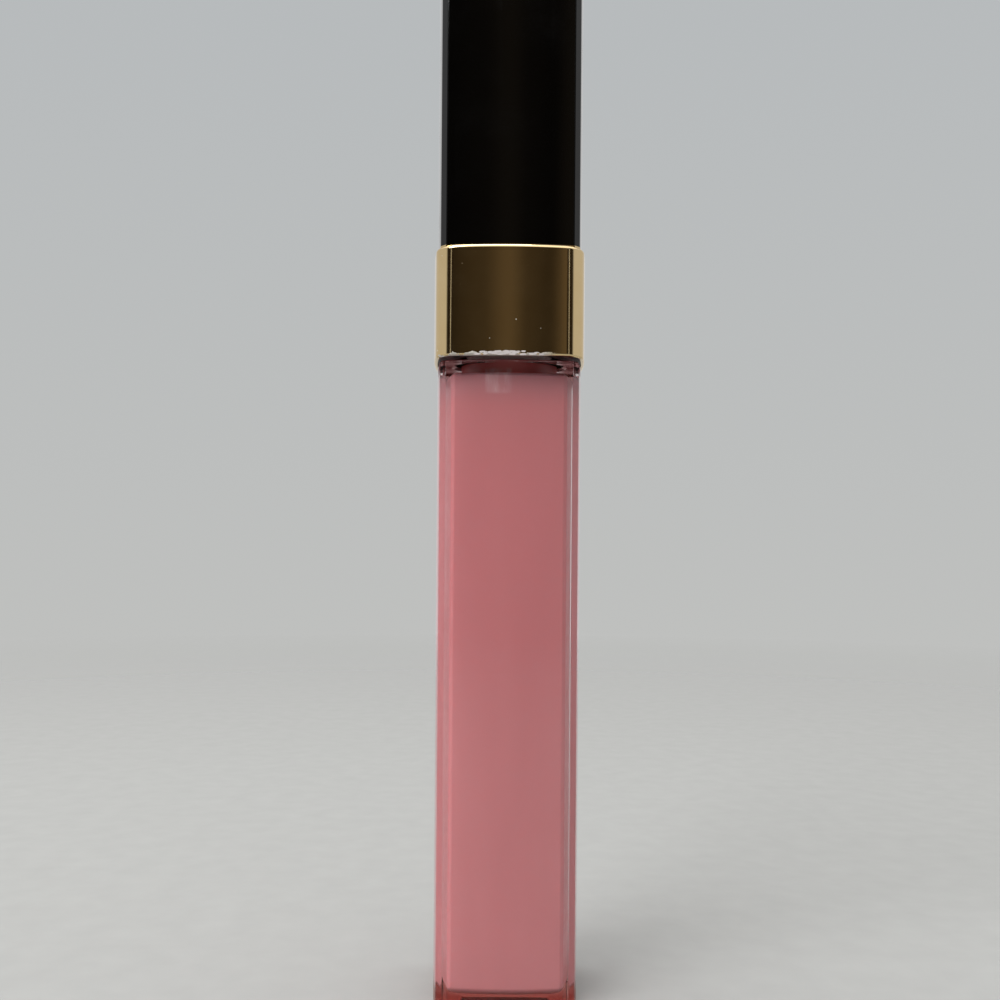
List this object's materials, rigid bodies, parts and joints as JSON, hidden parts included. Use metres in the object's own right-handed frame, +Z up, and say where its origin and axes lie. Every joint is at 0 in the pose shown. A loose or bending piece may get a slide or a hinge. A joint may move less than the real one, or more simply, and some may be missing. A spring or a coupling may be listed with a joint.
{
  "type": "lip gloss tube",
  "caption": "Square clear gloss tube with a threaded neck, closed by a tall black cap with a gold collar that unscrews and draws out a flocked wand.",
  "frame": {"origin": "centre of the underside, where the tube stands", "axes": "+Z up along the tube to the top of the cap; -Y is the front face and +X is its right-hand side"},
  "size_m": [0.0148, 0.0148, 0.115],
  "materials": {
    "clear_plastic": "polished clear",
    "label_film": "matt film, blank",
    "gloss": "thick pink cream gloss",
    "wiper_plastic": "soft natural plastic",
    "washer_foam": "closed-cell foam",
    "steel": "turned",
    "black_gloss": "high gloss",
    "gilt": "polished gold plating, worn along its lower edge",
    "black_matte": "moulded",
    "stem_plastic": "smooth moulded",
    "core_plastic": "soft moulded",
    "flock": "short nylon flock, wet with gloss"
  },
  "bodies": {
    "tube": {"bottle": "clear_plastic", "base_plug": "clear_plastic", "base_label": "label_film", "gloss_fill": "gloss", "wiper": "wiper_plastic"},
    "cap_lift": {"sealing_washer": "washer_foam"},
    "cap_screw": {"cap_weight": "steel"},
    "cap": {"cap_shell": "black_gloss", "collar": "gilt", "inner_cap": "black_matte", "wand_stem": "stem_plastic", "applicator_core": "core_plastic", "applicator_flock": "flock"}
  },
  "joints": [
    {"name": "cap_draw", "type": "slide", "parent": "tube", "child": "cap_lift", "axis": [0, 0, 1], "range_m": [0, 0.078]},
    {"name": "thread_rise", "type": "slide", "parent": "cap_lift", "child": "cap_screw", "axis": [0, 0, 1], "range_m": [0, 0.00313]},
    {"name": "cap_twist", "type": "hinge", "parent": "cap_screw", "child": "cap", "pos_m": [0, 0, 0.07], "axis": [0, 0, 1], "range_deg": [0, 450]}
  ],
  "couplings": [
    {"joint": "cap_twist", "follows": "thread_rise", "rad_per_m": 2513.3}
  ]
}
